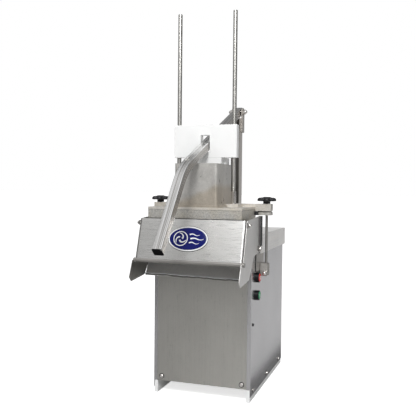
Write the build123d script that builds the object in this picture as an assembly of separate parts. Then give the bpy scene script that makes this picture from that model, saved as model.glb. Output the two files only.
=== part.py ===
from build123d import *
import math
import os

# A floor-standing food shredder. Food in the hopper is pressed onto a spinning
# disc by a pusher that a long hand lever moves up and down on two guide rods.
#
# All sizes are millimetres. The machine is drawn with y = 0 on the cabinet's
# front panel, +Y to the back, x = 0 on its middle plane and z = 0 on the floor.
# Every node is shifted at the end so that the origin is the middle of the footprint.

# ---- cabinet ----
CAB_X = 192.0            # half width over the side panels
CAB_DEPTH = 567.0
SHEET = 1.5              # stainless sheet of the cabinet
SIDE_Z0 = 21.0           # side panels stop above the floor
FRONT_Z0 = 49.0
PANEL_TOP = 597.0
DECK_TOP = 600.0
CORNER = 14.5            # the side panels turn this far round each corner
RUNNER_X = (176.0, 190.0)
RUNNER_TOP = 75.0
LID_X = 200.0
LID_Y = (112.0, 578.0)
LID_Z = (543.0, 615.0)

# ---- discharge hood ----
HOOD_X = 202.0           # half width over the hood's side plates
HOOD_SHEET = 2.0
CHUTE_LIP = (-69.0, 467.0)      # y, z
CHUTE_TOP = (31.0, 640.0)
FLAP_TOP = (-112.0, 679.0)
FLAP_FOOT = (-157.0, 540.0)
FLAP_X = 199.2
FLAP_BEND = 8.0
FLAP_RETURN = 22.0
FLAP_PIVOT = (-104.0, 662.0)
FLAP_BAR = (-155.0, 530.0)
FLAP_BAR_R = 7.5

# ---- cutter housing and hopper ----
BOWL_Y = 82.0            # the disc's axis
BOWL_R = 179.0
BOWL_FRONT = -97.0
BOWL_Z = (640.0, 711.5)
BOWL_WALL = 4.0
THROAT_Z = 680.7         # lower edge of the bowl's front wall
COVER_Z = (712.5, 721.0)
EAR_Z0 = 706.0            # underside of the cover's thicker ears
CLAMP_TOP = 732.5
EAR_Y = (98.0, 138.0)
EAR_X = 238.5
HOPPER_X = 82.0
HOPPER_Y = (-80.0, 106.0)
HOPPER_TOP = 880.0
HOPPER_R = 10.0
HOPPER_WALL = 3.0

# ---- press ----
ROD_X = 109.0
ROD_Y = 39.0
ROD_R = 8.0
ROD_TOP = 1450.0
HEAD_X = 123.0
HEAD_Y = (24.0, 54.0)
HEAD_Z = (905.0, 1028.0)
SLOT_X = 18.0
SLOT_Z = (926.0, 990.0)
FOOT_Z = (706.0, 766.0)
STEM_X = 64.0
PIVOT = (480.0, 1129.0)         # y, z of the lever's pivot
POST_X = 19.5
POST_Y = (438.0, 487.0)
POST_TOP = 1100.0
POST_WALL = 2.5
LEVER_SIDE = 32.0
LEVER_WALL = 2.5
LEVER_SLOPE = 21.7       # degrees below level, between the pivot and the bend
LEVER_BEND = 29.2        # degrees more after the bend
LEVER_BEND_R = 250.0
LEVER_LONG = 744.0       # pivot to the corner of the bend
LEVER_SHORT = 336.0      # corner of the bend to the end of the tube

# ---- swing bolts and knobs ----
SWING_X = 219.0
SWING_Y = 118.0
SWING_Z = 472.0
SWING_R = 5.0
KNOB_Z = (733.7, 759.0)
KNOB_R = 36.5

# ---- buttons ----
BUTTON_Y = 77.0
STOP_Z = 455.5
START_Z = 388.5
BEZEL_R = 18.5
BUTTON_R = 15.0

# ---- drive ----
MOTOR_Y = 400.0
SHELF_Z = (520.0, 526.0)
PULLEY_Z = 561.0
DRIVEN_R = 75.0
MOTOR_PULLEY_R = 35.0
SHAFT_R = 12.5
RUN = 0.05               # radial clearance of a running fit

nodes = {}


def block(x0, x1, y0, y1, z0, z1):
    size = Box(x1 - x0, y1 - y0, z1 - z0)
    return Pos((x0 + x1) / 2, (y0 + y1) / 2, (z0 + z1) / 2) * size


def rod_z(r, z0, z1, x, y):
    return Pos(x, y, (z0 + z1) / 2) * Cylinder(r, z1 - z0)


def rod_x(r, x0, x1, y, z):
    return Pos((x0 + x1) / 2, y, z) * Rot(0, 90, 0) * Cylinder(r, x1 - x0)


def rod_y(r, y0, y1, x, z):
    return Pos(x, (y0 + y1) / 2, z) * Rot(90, 0, 0) * Cylinder(r, y1 - y0)


def side_plate(points, x0, x1):
    """An outline of (y, z) points, from x0 to x1."""
    outline = make_face(Polyline(*points, close=True))
    return extrude(Plane.YZ.offset(x0) * outline, x1 - x0)


def upright(outline, z0, z1):
    return extrude(Plane.XY.offset(z0) * outline, z1 - z0)


def vertical_edges(part):
    return part.edges().filter_by(Axis.Z)


def both_sides(part):
    """The part and its mirror image across the middle plane."""
    return [part, mirror(part, about=Plane.YZ)]


def hexagon(across_flats, height):
    return extrude(RegularPolygon(across_flats / 2, 6, major_radius=False), height)


def acorn(across_flats):
    """A domed nut on z = 0, its dome up."""
    skirt = 0.5 * across_flats
    dome_r = 0.44 * across_flats
    dome = Pos(0, 0, skirt) * Sphere(dome_r)
    return hexagon(across_flats, skirt) + (dome - block(-99, 99, -99, 99, -99, skirt - 0.01))


def pan_head(r, height):
    """A low domed screw head on z = 0."""
    head = Cylinder(r, height, align=(Align.CENTER, Align.CENTER, Align.MIN))
    return fillet(head.edges().sort_by(Axis.Z)[-1], height * 0.8)


def d_outline(radius, front, y_centre=BOWL_Y):
    """A circle joined to a rectangle that runs forward to y = front."""
    box = Pos(0, (front + y_centre) / 2) * Rectangle(2 * radius, y_centre - front)
    return Pos(0, y_centre) * Circle(radius) + box


def hopper_outline(grow):
    """The hopper's plan, grown by the given amount."""
    y0, y1 = HOPPER_Y
    plan = RectangleRounded(2 * (HOPPER_X + grow), y1 - y0 + 2 * grow, HOPPER_R + grow)
    return Pos(0, (y0 + y1) / 2) * plan


def add(name, *solids):
    nodes[name] = solids


# ------------------------------------------------------------------ cabinet

SIDE_SCREWS_Y = (44.0, 270.0, 498.0)
SIDE_SCREW_Z = 37.0
CHUTE_NOTCH_Z = 572.0            # the front corners are cut back above this for the chute


def runner_screws():
    """Three domed screws on each side, from the panel into the runner."""
    screws = []
    for y in SIDE_SCREWS_Y:
        head = Pos(CAB_X, y, SIDE_SCREW_Z) * Rot(0, 90, 0) * pan_head(8, 4.5)
        screw = head + rod_x(3, 182, CAB_X, y, SIDE_SCREW_Z)
        screws += both_sides(screw)
    return screws


def panel_screws():
    """Two domed screws on the front panel and a small one on each side panel."""
    screws = []
    for x in (-159, 159):
        head = Pos(x, 0, 66) * Rot(90, 0, 0) * pan_head(8, 4.5)
        screws.append(head + rod_y(3, 0, 7, x, 66))
    small = Pos(CAB_X, 31, 285) * Rot(0, 90, 0) * pan_head(4.5, 2.5)
    screws += both_sides(small + rod_x(2, 186, CAB_X, 31, 285))
    return screws


def side_panel(screws):
    """A sheet side with its front and rear edges turned in round the corners."""
    inner, skin = CAB_X - CORNER, CAB_X - SHEET
    panel = block(inner, CAB_X, 0, CAB_DEPTH, SIDE_Z0, PANEL_TOP)
    corners = vertical_edges(panel).sort_by(Axis.X)[-2:]
    panel = fillet(corners, 3)
    panel -= block(inner, skin, SHEET, CAB_DEPTH - SHEET, 0, PANEL_TOP)
    panel -= block(inner - 1, skin, -1, CAB_DEPTH + 1, 0, FRONT_Z0)
    panel -= block(inner - 1, skin, -1, 20, CHUTE_NOTCH_Z, PANEL_TOP + 1)
    for z in (STOP_Z, START_Z):
        panel -= rod_x(11.2, 180, 200, BUTTON_Y, z)
    panel -= rod_x(4.2, 180, 200, HOOD_BOLT[0], HOOD_BOLT[1])
    for screw in screws:
        panel -= screw
    return panel


def runner(screws):
    x0, x1 = RUNNER_X
    board = block(x0, x1, 2, CAB_DEPTH - 2, 0, RUNNER_TOP)
    board = fillet(vertical_edges(board), 2)
    board = chamfer(board.faces().sort_by(Axis.Z)[0].edges(), 1)
    for screw in screws:
        board -= screw
    return board


def front_panel(screws):
    half = CAB_X - CORNER - 0.4
    panel = block(-half, half, 0, SHEET, FRONT_Z0, 577)
    panel += block(-half, half, 0, 2, FRONT_Z0, FRONT_Z0 + SHEET)
    for screw in screws:
        panel -= screw
    return panel


def rear_panel():
    """A flat sheet with rows of vent slots and the cable inlet's hole."""
    half = CAB_X - CORNER - 0.4
    back = CAB_DEPTH
    panel = block(-half, half, back - SHEET, back, FRONT_Z0, PANEL_TOP - 0.5)
    for side in (-1, 1):
        for row in range(9):
            slot = Rot(90, 0, 0) * extrude(SlotOverall(90, 7), 6, both=True)
            panel -= Pos(side * 75, back, 300 + 18 * row) * slot
    return panel - rod_y(8.2, back - 9, back + 9, GLAND_X, GLAND_Z)


def base_pan(screws):
    """The cabinet's floor, with turned-up edges at the front and back."""
    pan = block(-175.5, 175.5, 2, CAB_DEPTH - 2, 51, 53)
    for y0 in (2.2, CAB_DEPTH - 4):
        pan += block(-170, 170, y0, y0 + 1.8, 53, 85)
    for screw in screws:
        pan -= screw
    return pan


def top_deck():
    """The plate under the lid, with a hole for the spindle's bearing housing."""
    deck = block(-CAB_X, CAB_X, 10, CAB_DEPTH, PANEL_TOP, DECK_TOP)
    deck -= rod_z(45.2, 590, 610, 0, BOWL_Y)
    return deck


def rear_lid():
    """The raised cover of the drive, open below, notched round the post."""
    lid = block(-LID_X, LID_X, *LID_Y, *LID_Z)
    edges = vertical_edges(lid) + lid.faces().sort_by(Axis.Z)[-1].edges()
    lid = fillet(edges, 4)
    wall = 1.5
    inside_x, inside_y = LID_X - wall, (LID_Y[0] + wall, LID_Y[1] - wall)
    lid -= block(-inside_x, inside_x, *inside_y, 500, LID_Z[1] - wall)
    lid -= block(-CAB_X - 5, CAB_X + 5, 100, LID_Y[0] + 3, 500, DECK_TOP + 0.5)
    lid -= block(-POST_X - 3, POST_X + 3, POST_Y[0] - 3, POST_Y[1] + 3, 600, 620)
    return lid - rod_z(72, 590, 620, 0, BOWL_Y)


def motor_shelf():
    shelf = block(-CAB_X + 2, CAB_X - 2, 300, 500, *SHELF_Z)
    return shelf - rod_z(16, 500, 540, 0, MOTOR_Y)


# ------------------------------------------------------------------ discharge

HOOD_BOLT = (60.0, 567.0)        # y, z of the rear hood bolt
PLATE_REAR = 84.0


def flap_axes():
    """Unit vectors down the flap's face and in through it, as (y, z)."""
    dy = FLAP_FOOT[0] - FLAP_TOP[0]
    dz = FLAP_FOOT[1] - FLAP_TOP[1]
    length = math.hypot(dy, dz)
    down = (dy / length, dz / length)
    return down, (-down[1], down[0])


def bar_path():
    """The ring that the flap's bar sweeps about the pivot, cut from the side plates."""
    reach = math.dist(FLAP_BAR, FLAP_PIVOT)
    half = FLAP_BAR_R + 1.2
    y, z = FLAP_PIVOT
    ring = rod_x(reach + half, 190, 215, y, z) - rod_x(reach - half, 190, 215, y, z)
    ring &= block(190, 215, -400, FLAP_BAR[0], FLAP_BAR[1] - 12, 600)
    return ring + rod_x(half, 190, 215, *FLAP_BAR)


def hood_side():
    """The right side plate: folded out along its back edge, slotted for the bar."""
    outline = [
        (-106, 678), (PLATE_REAR, 689), (PLATE_REAR, 552), (PLATE_REAR - 12, 551), (-7, 546),
        (-76, 467), (-190, 457), (-207, 474), (-180, 534), (-152, 538),
    ]
    plate = side_plate(outline, HOOD_X - HOOD_SHEET, HOOD_X)
    nose = plate.edges().filter_by(Axis.X).sort_by(Axis.Y)
    plate = fillet(nose[:2], 5)
    plate += block(HOOD_X - 1, HOOD_X + 8, PLATE_REAR - 2, PLATE_REAR, 574, 688)
    plate -= bar_path()
    plate -= rod_x(4 + RUN, 190, 210, *FLAP_PIVOT)
    return plate - rod_x(4 + RUN, 190, 210, *HOOD_BOLT)


def hood_bolts():
    """Four domed bolts through the side plates, with nuts and rear spacers."""
    parts = []
    for y, z in (FLAP_PIVOT, HOOD_BOLT):
        head = Pos(HOOD_X, y, z) * Rot(0, 90, 0) * acorn(16)
        parts += both_sides(head + rod_x(4, 184, HOOD_X, y, z))
    y, z = HOOD_BOLT
    spacer = rod_x(9, CAB_X, HOOD_X - HOOD_SHEET, y, z) - rod_x(4, 180, 210, y, z)
    nut = Pos(184, y, z) * Rot(0, 90, 0) * hexagon(13, 6.4)
    return parts + both_sides(spacer) + both_sides(nut - rod_x(4, 180, 210, y, z))


def chute_floor():
    """The steep slide below the disc, folded under at its lip."""
    run = (CHUTE_TOP[0] - CHUTE_LIP[0], CHUTE_TOP[1] - CHUTE_LIP[1])
    length = math.hypot(*run)
    down = (-run[0] / length, -run[1] / length)
    under = (-down[1], down[0])

    def strip(start, end, half):
        points = []
        for along, depth in ((start, 0), (end, 0), (end, SHEET), (start, SHEET)):
            y = CHUTE_TOP[0] + down[0] * along + under[0] * depth
            z = CHUTE_TOP[1] + down[1] * along + under[1] * depth
            points.append((y, z))
        return side_plate(points, -half, half)

    narrow_end = 67.0
    floor = strip(0, narrow_end, 188) + strip(narrow_end, length, HOOD_X - 3)
    hem = rod_x(2.2, -(HOOD_X - 3), HOOD_X - 3, CHUTE_LIP[0] + 1.2, CHUTE_LIP[1] - 1.2)
    return floor + hem


def guard_flap():
    """The hinged front guard: a channel of sheet with wide side bends."""
    down, _ = flap_axes()
    top = Plane(origin=(0, *FLAP_TOP), x_dir=(1, 0, 0), z_dir=(0, *down))
    reach = math.dist(FLAP_TOP, FLAP_BAR)
    depth = FLAP_RETURN
    outer = Pos(0, -depth / 2) * Rectangle(2 * FLAP_X, depth)
    inner = Pos(0, -depth / 2 - SHEET) * Rectangle(2 * (FLAP_X - SHEET), depth)
    outer = fillet(outer.vertices().group_by(Axis.Y)[-1], FLAP_BEND)
    inner = fillet(inner.vertices().group_by(Axis.Y)[-1], FLAP_BEND - SHEET)
    channel = extrude(top * (outer - inner), reach)
    channel -= rod_x(FLAP_BAR_R, -210, 210, *FLAP_BAR)
    return channel - rod_x(4 + RUN, -210, 210, *FLAP_PIVOT)


def flap_bar():
    """The round bar along the flap's foot, with a cap on each end."""
    bar = rod_x(FLAP_BAR_R, -205, 205, *FLAP_BAR)
    cap = Pos(205, *FLAP_BAR) * Rot(0, 90, 0) * pan_head(8.5, 2.5)
    for end in both_sides(cap):
        bar += end
    return bar


def badge():
    """A plain oval plate on the flap's face."""
    down, inward = flap_axes()
    along = 72.0
    y = FLAP_TOP[0] + down[0] * along
    z = FLAP_TOP[1] + down[1] * along
    face = Plane(origin=(-7, y, z), x_dir=(1, 0, 0), z_dir=(0, -inward[0], -inward[1]))
    oval = extrude(face * Ellipse(73, 44), 2.5)
    return fillet(oval.edges().sort_by(Axis.Y)[0], 1)


# ------------------------------------------------------------------ cutter

def bowl():
    """The cutter housing, open at its front foot where the food falls out."""
    shell = upright(d_outline(BOWL_R, BOWL_FRONT), *BOWL_Z)
    shell = fillet(vertical_edges(shell).group_by(Axis.Y)[0], 4)
    inner = d_outline(BOWL_R - BOWL_WALL, BOWL_FRONT + BOWL_WALL)
    shell -= upright(inner, BOWL_Z[0] + 3, BOWL_Z[1])
    shell -= block(-175, 175, BOWL_FRONT + BOWL_WALL, CHUTE_TOP[0] + 2, 600, BOWL_Z[0] + 4)
    shell -= block(-200, 200, BOWL_FRONT - 1, BOWL_FRONT + 17, 600, THROAT_Z)
    shell -= rod_z(14.5, 600, 660, 0, BOWL_Y)
    lug = upright(ear_outline(176), 690, 701)
    lug += block(180, EAR_X - 4, EAR_Y[1] - 10, EAR_Y[1] - 1, 700, EAR_Z0 - 0.5)
    lug -= upright(d_outline(BOWL_R - 1, BOWL_FRONT), 680, 710)
    for piece in both_sides(lug):
        shell += piece
    return shell


def ear_outline(inner_x):
    """The right ear, with a slot open to the outside for the swing bolt."""
    y0, y1 = EAR_Y
    ear = Pos((inner_x + EAR_X) / 2, (y0 + y1) / 2) * Rectangle(EAR_X - inner_x, y1 - y0)
    ear = fillet(ear.vertices().group_by(Axis.X)[-1], 3)
    slot = Pos(SWING_X, SWING_Y) * Circle(6.5)
    slot += Pos(SWING_X + 20, SWING_Y) * Rectangle(40, 13)
    return ear - slot


def gasket():
    ring = d_outline(BOWL_R - 0.8, BOWL_FRONT + 0.8) - d_outline(BOWL_R - 8, BOWL_FRONT + 8)
    return upright(ring, BOWL_Z[1], COVER_Z[0])


def cover_plate():
    """The lid of the bowl, with an ear each side and the hopper's opening."""
    plate = upright(d_outline(BOWL_R, BOWL_FRONT), *COVER_Z)
    plate = fillet(vertical_edges(plate).group_by(Axis.Y)[0], 3)
    ear = upright(ear_outline(160), EAR_Z0, COVER_Z[1])
    ear -= upright(d_outline(BOWL_R - 1, BOWL_FRONT), COVER_Z[0], 730)
    ear -= upright(d_outline(BOWL_R + 0.3, BOWL_FRONT), 700, COVER_Z[0])
    for piece in both_sides(ear):
        plate += piece
    plate -= upright(hopper_outline(-HOPPER_WALL), 700, 730)
    return plate


def clamp_frame():
    """The thick plate behind the hopper that carries the guide rods and the ears."""
    half, front = 131.0, ROD_Y - 15
    y0, y1 = EAR_Y
    plan = Pos(0, (front + y1) / 2) * Rectangle(2 * half, y1 - front)
    plan = fillet(plan.vertices().group_by(Axis.Y)[0], 4)
    arm = Pos(140, (y0 + y1) / 2) * Rectangle(40, y1 - y0) + ear_outline(150)
    plan += arm
    plan += mirror(arm, about=Plane.YZ)
    plan -= hopper_outline(0.3)
    plate = upright(plan, COVER_Z[1], CLAMP_TOP)
    return chamfer(plate.faces().sort_by(Axis.Z)[-1].edges(), 0.8)


def hopper():
    """A rounded square tube on the cover, with a base flange at its front."""
    z0 = COVER_Z[1]
    tube = upright(hopper_outline(0) - hopper_outline(-HOPPER_WALL), z0, HOPPER_TOP)
    flange = upright(hopper_outline(7) - hopper_outline(-1), z0, z0 + 8)
    flange &= block(-120, 120, -120, ROD_Y - 15.3, z0, z0 + 20)
    return tube + flange


def interlock_switch():
    """A small sensor that senses the cover is clamped shut."""
    body = block(BOWL_R, 191.5, 84, 97.6, 690.5, EAR_Z0 - 0.6)
    return fillet(body.edges().filter_by(Axis.Y).group_by(Axis.X)[-1], 2)


def shredder_disc():
    """The flat cutting disc, with rings of holes."""
    z0, z1 = 697.0, 700.0
    disc = rod_z(171, z0, z1, 0, BOWL_Y)
    holes = []
    for ring in range(5):
        radius = 50 + 26 * ring
        count = 12 + 6 * ring
        for k in range(count):
            angle = 2 * math.pi * (k + 0.5 * (ring % 2)) / count
            x = radius * math.cos(angle)
            y = BOWL_Y + radius * math.sin(angle)
            holes.append(rod_z(5, z0 - 1, z1 + 1, x, y))
    disc = disc - holes
    return disc - rod_z(6, z0 - 1, z1 + 1, 0, BOWL_Y)


def disc_screw():
    head = rod_z(15, 700, 703, 0, BOWL_Y)
    head = chamfer(head.edges().sort_by(Axis.Z)[-1], 1)
    return head + rod_z(6, 697, 700, 0, BOWL_Y)


def ejector():
    """A hub with three paddles that sweep the shreds out of the bowl."""
    hub = rod_z(24, 652, 697, 0, BOWL_Y)
    for k in range(3):
        paddle = Pos(0, BOWL_Y, 669) * Rot(0, 0, 120 * k + 30) * Pos(92, 0, 0) * Box(146, 6, 32)
        hub += paddle
    return hub - rod_z(SHAFT_R, 640, 700, 0, BOWL_Y)


def main_shaft():
    return rod_z(SHAFT_R, 540, 697, 0, BOWL_Y)


def bearing_housing():
    """The neck between the deck and the bowl, bored for the two bearings."""
    neck = rod_z(45, 590, 640, 0, BOWL_Y) + rod_z(60, 600, 610, 0, BOWL_Y)
    neck += rod_z(48, 632, 640, 0, BOWL_Y)
    return neck - rod_z(26, 580, 650, 0, BOWL_Y)


def shaft_bearings():
    rings = []
    for z0 in (594, 621):
        ring = rod_z(26, z0, z0 + 15, 0, BOWL_Y) - rod_z(SHAFT_R + RUN, 580, 650, 0, BOWL_Y)
        rings.append(ring)
    return rings


# ------------------------------------------------------------------ press

def guide_rod():
    """A polished rod, turned down a little over its threaded foot."""
    rod = rod_z(ROD_R, 745, ROD_TOP, ROD_X, ROD_Y)
    rod = chamfer(rod.edges().sort_by(Axis.Z)[-1], 1.2)
    neck = rod_z(ROD_R + 2, 745, 815, ROD_X, ROD_Y) - rod_z(ROD_R - 1, 740, 816, ROD_X, ROD_Y)
    return rod - neck


def rod_nuts():
    """A long nut and a washer under each guide rod."""
    parts = []
    bore = rod_z(ROD_R - 1, 745, 800, ROD_X, ROD_Y)
    foot = CLAMP_TOP + 3
    nut = Pos(ROD_X, ROD_Y, foot) * hexagon(18, 779 - foot) - bore
    washer = rod_z(12, CLAMP_TOP, foot, ROD_X, ROD_Y)
    for piece in (nut, washer):
        parts += both_sides(piece)
    return parts


def crosshead(screws):
    """The white block that slides on the rods, slotted for the lever."""
    head = block(-HEAD_X, HEAD_X, *HEAD_Y, *HEAD_Z)
    head = fillet(head.edges(), 1.5)
    head -= block(-SLOT_X, SLOT_X, HEAD_Y[0] - 1, HEAD_Y[1] + 1, *SLOT_Z)
    for x in (-ROD_X, ROD_X):
        head -= rod_z(ROD_R + RUN, 880, 1050, x, ROD_Y)
    for screw in screws:
        head -= screw
    return head


def pusher_stem(screws):
    """The board below the crosshead and the wider body behind it."""
    foot_top = FOOT_Z[1]
    stem = block(-STEM_X, STEM_X, *HEAD_Y, foot_top, HEAD_Z[0])
    stem += block(-75.5, 75.5, HEAD_Y[1], HOPPER_Y[1] - 8, foot_top, HEAD_Z[0])
    rear = vertical_edges(stem).group_by(Axis.Y)[-1]
    stem = fillet(rear, 8)
    for screw in screws:
        stem -= screw
    return stem


def pusher_foot():
    """The block that presses the food, rounded to fit inside the hopper."""
    foot = upright(hopper_outline(-HOPPER_WALL - 1.2), *FOOT_Z)
    return chamfer(foot.faces().sort_by(Axis.Z)[-1].edges(), 2)


def pusher_screws():
    """Screws sunk in the crosshead's top that hold the stem."""
    screws = []
    for x in (40, 60):
        head = rod_z(8, HEAD_Z[1] - 12, HEAD_Z[1] - 2, x, ROD_Y)
        socket = Pos(x, ROD_Y, HEAD_Z[1] - 7) * hexagon(8, 10)
        screws += both_sides(head - socket + rod_z(4, 860, HEAD_Z[1] - 12, x, ROD_Y))
    return screws


def lift_post():
    """The channel post behind the bowl, open to the front, on a foot plate."""
    foot = block(-55, 55, POST_Y[0] - 25, POST_Y[1] + 25, DECK_TOP, 606)
    outer = block(-POST_X, POST_X, *POST_Y, 606, POST_TOP)
    outer = fillet(vertical_edges(outer).group_by(Axis.Y)[-1], 3)
    inner = block(-POST_X + POST_WALL, POST_X - POST_WALL, 0, POST_Y[1] - POST_WALL, 606, POST_TOP)
    return outer - inner + foot


def post_bolts():
    """Four low bolt heads on the post's foot plate."""
    bolts = []
    for y in (POST_Y[0] - 13, POST_Y[1] + 13):
        bolts += both_sides(Pos(42, y, 606) * hexagon(13, 5.3))
    return bolts


def cheek_straps():
    """Two flat straps on the post's sides that hold the lever's pivot."""
    y, z = PIVOT
    half, foot = 18.0, 1038.0
    strap = block(POST_X, POST_X + 5, y - half, y + half, foot, z)
    strap = fillet(strap.edges().filter_by(Axis.X).group_by(Axis.Z)[0], 5)
    strap += rod_x(half, POST_X, POST_X + 5, y, z)
    return both_sides(strap - rod_x(6, 0, 40, y, z))


def pivot_bolt():
    """The lever's axle, domed on both ends."""
    axle = rod_x(6, -POST_X - 5, POST_X + 5, *PIVOT)
    head = Pos(POST_X + 5, *PIVOT) * Rot(0, 90, 0) * acorn(19)
    for end in both_sides(head):
        axle += end
    return axle


def lever_points():
    """The lever's pivot, bend corner and end, as (y, z)."""
    slope = math.radians(LEVER_SLOPE)
    steep = math.radians(LEVER_SLOPE + LEVER_BEND)
    corner = (PIVOT[0] - LEVER_LONG * math.cos(slope), PIVOT[1] - LEVER_LONG * math.sin(slope))
    end = (corner[0] - LEVER_SHORT * math.cos(steep), corner[1] - LEVER_SHORT * math.sin(steep))
    return corner, end, steep


def lever_tube():
    """A square tube bent once, with a welded sleeve for the pivot."""
    corner, end, _ = lever_points()
    slope = math.radians(LEVER_SLOPE)
    back = (PIVOT[0] + 18 * math.cos(slope), PIVOT[1] + 18 * math.sin(slope))
    points = [Vector(0, *p) for p in (back, corner, end)]
    path = FilletPolyline(*points, radius=LEVER_BEND_R)
    start = Plane(origin=points[0], x_dir=(1, 0, 0), z_dir=(points[1] - points[0]))
    outer = RectangleRounded(LEVER_SIDE, LEVER_SIDE, 3)
    inner = RectangleRounded(LEVER_SIDE - 2 * LEVER_WALL, LEVER_SIDE - 2 * LEVER_WALL, 1)
    tube = sweep(start * outer, path=path) - sweep(start * inner, path=path)
    tube += rod_x(10, -POST_X + 0.5, POST_X - 0.5, *PIVOT)
    return tube - rod_x(6 + RUN, -40, 40, *PIVOT)


def lever_plug():
    """The black plug in the tube's open end."""
    _, end, steep = lever_points()
    out = Vector(0, -math.cos(steep), -math.sin(steep))
    face = Plane(origin=(0, *end), x_dir=(1, 0, 0), z_dir=out)
    cap = extrude(face * RectangleRounded(LEVER_SIDE, LEVER_SIDE, 3), 3)
    hollow = LEVER_SIDE - 2 * LEVER_WALL - 0.1
    return cap + extrude(face * RectangleRounded(hollow, hollow, 1), -20)


# ------------------------------------------------------------------ clamps

CLEVIS_Y = ((100.0, 106.0), (130.0, 136.0))


def clevis():
    """A plate on the cabinet's side with two cheeks for the swing bolt's eye."""
    x0, x1 = CAB_X, CAB_X + 4
    plate = block(x0, x1, 60, 176, 482, 546)
    plate = fillet(plate.edges().filter_by(Axis.X).group_by(Axis.Z)[-1], 12)
    plate += block(x0, x1, 98, 140, 457, 482)
    plate += block(x1 - 1, x1 + 3, 62, 100, 482, 511)
    for y0, y1 in CLEVIS_Y:
        cheek = block(x0, 228, y0, y1, 459, 508)
        plate += fillet(cheek.edges().filter_by(Axis.Y).group_by(Axis.X)[-1], 6)
    plate -= block(x1 + 0.5, x1 + 4.5, 99, 107, 470, 512)
    return plate - rod_y(SWING_R, 90, 150, SWING_X, SWING_Z)


def clevis_pins():
    """A pin through each clevis, with a domed nut in front and a low head behind."""
    front, back = CLEVIS_Y[0][0], CLEVIS_Y[1][1]
    pin = rod_y(SWING_R, front - 6, back, SWING_X, SWING_Z)
    pin += rod_y(7.5, back, back + 2, SWING_X, SWING_Z)
    nut = Pos(SWING_X, front, SWING_Z) * Rot(90, 0, 0) * acorn(17)
    nut -= rod_y(SWING_R, front - 6, back, SWING_X, SWING_Z)
    return both_sides(pin) + both_sides(nut)


def swing_bolt():
    """A rod with an eye at its foot."""
    eye = rod_y(11, SWING_Y - 11, SWING_Y + 11, SWING_X, SWING_Z)
    bolt = eye + rod_z(SWING_R, SWING_Z, 754, SWING_X, SWING_Y)
    return bolt - rod_y(SWING_R + RUN, 90, 150, SWING_X, SWING_Z)


def star_knob():
    """A lobed knob on a round neck."""
    z0, z1 = KNOB_Z
    rim = 744.0
    lobes = 7
    plan = Circle(KNOB_R)
    for k in range(lobes):
        plan -= Rot(0, 0, 360 * k / lobes) * Pos(KNOB_R + 7, 0) * Circle(12)
    head = upright(plan, rim, z1)
    head = Pos(SWING_X, SWING_Y, 0) * fillet(vertical_edges(head), 3)
    dome = Pos(SWING_X, SWING_Y, z1 - 130) * Sphere(130)
    head &= dome
    knob = head + rod_z(13.8, z0, rim, SWING_X, SWING_Y)
    return knob - rod_z(SWING_R + RUN, 730, 755, SWING_X, SWING_Y)


# ------------------------------------------------------------------ buttons

def button_bezels():
    """A black collar round each button, with its nut and body inside the cabinet."""
    parts = []
    for z in (STOP_Z, START_Z):
        collar = rod_x(BEZEL_R, CAB_X, CAB_X + 12.5, BUTTON_Y, z)
        collar = fillet(collar.edges().sort_by(Axis.X)[-1], 1.5)
        collar -= rod_x(BUTTON_R + 0.4, CAB_X + 4, CAB_X + 20, BUTTON_Y, z)
        collar += rod_x(11, 168, CAB_X, BUTTON_Y, z)
        collar += rod_x(16, 184, CAB_X - SHEET, BUTTON_Y, z)
        parts.append(collar - rod_x(7.9, 160, CAB_X + 20, BUTTON_Y, z))
    return parts


def push_button(z):
    """A flat round face on a plunger."""
    face = rod_x(BUTTON_R, CAB_X + 9, CAB_X + 14.5, BUTTON_Y, z)
    face = fillet(face.edges().sort_by(Axis.X)[-1], 1.2)
    return face + rod_x(7.5, 174, CAB_X + 9, BUTTON_Y, z)


def control_box():
    """The contactor box behind the buttons."""
    box = block(95, 163, 35, 125, 350, 500)
    return fillet(box.edges(), 3)


# ------------------------------------------------------------------ drive

GLAND_X = 110.0
GLAND_Z = 110.0
GLAND_BORE = 4.5
GLAND_OUT = 22.0         # how far the inlet stands out of the rear panel


def motor():
    """A vertical flange motor under its shelf, with fins and a terminal box."""
    y = MOTOR_Y
    body = rod_z(70, 270, 508, 0, y) + rod_z(85, 508, SHELF_Z[0], 0, y)
    for k in range(24):
        fin = Pos(0, y, 395) * Rot(0, 0, 15 * k) * Pos(72, 0, 0) * Box(12, 3, 200)
        body += fin
    body += rod_z(76, 250, 285, 0, y)
    body += block(60, 115, y - 40, y + 40, 420, 490)
    return body - rod_z(10, 480, 530, 0, y)


def motor_shaft():
    return rod_z(9.5, 490, 580, 0, MOTOR_Y)


def pulley(radius, bore, y):
    """A V-grooved pulley."""
    z = PULLEY_Z
    wheel = rod_z(radius, z - 11, z + 11, 0, y)
    half, root = 7.0, radius - 10
    rim = radius + 1
    groove = Polyline((root, z - 3), (rim, z - half), (rim, z + half), (root, z + 3), close=True)
    cut = revolve(Plane.XZ * make_face(groove), Axis.Z)
    return wheel - Pos(0, y, 0) * cut - rod_z(bore, z - 20, z + 20, 0, y)


def drive_belt():
    """The V belt, in one tight loop round both pulleys."""
    gap = MOTOR_Y - BOWL_Y

    def loop(inset):
        big, small = DRIVEN_R - inset, MOTOR_PULLEY_R - inset
        lean = math.asin((big - small) / gap)
        c, s = math.cos(lean), math.sin(lean)
        quad = Polyline(
            (big * c, BOWL_Y + big * s), (small * c, MOTOR_Y + small * s),
            (-small * c, MOTOR_Y + small * s), (-big * c, BOWL_Y + big * s), close=True,
        )
        return make_face(quad) + Pos(0, BOWL_Y) * Circle(big) + Pos(0, MOTOR_Y) * Circle(small)

    return upright(loop(0.5) - loop(7.5), PULLEY_Z - 3.4, PULLEY_Z + 3.4)


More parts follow.
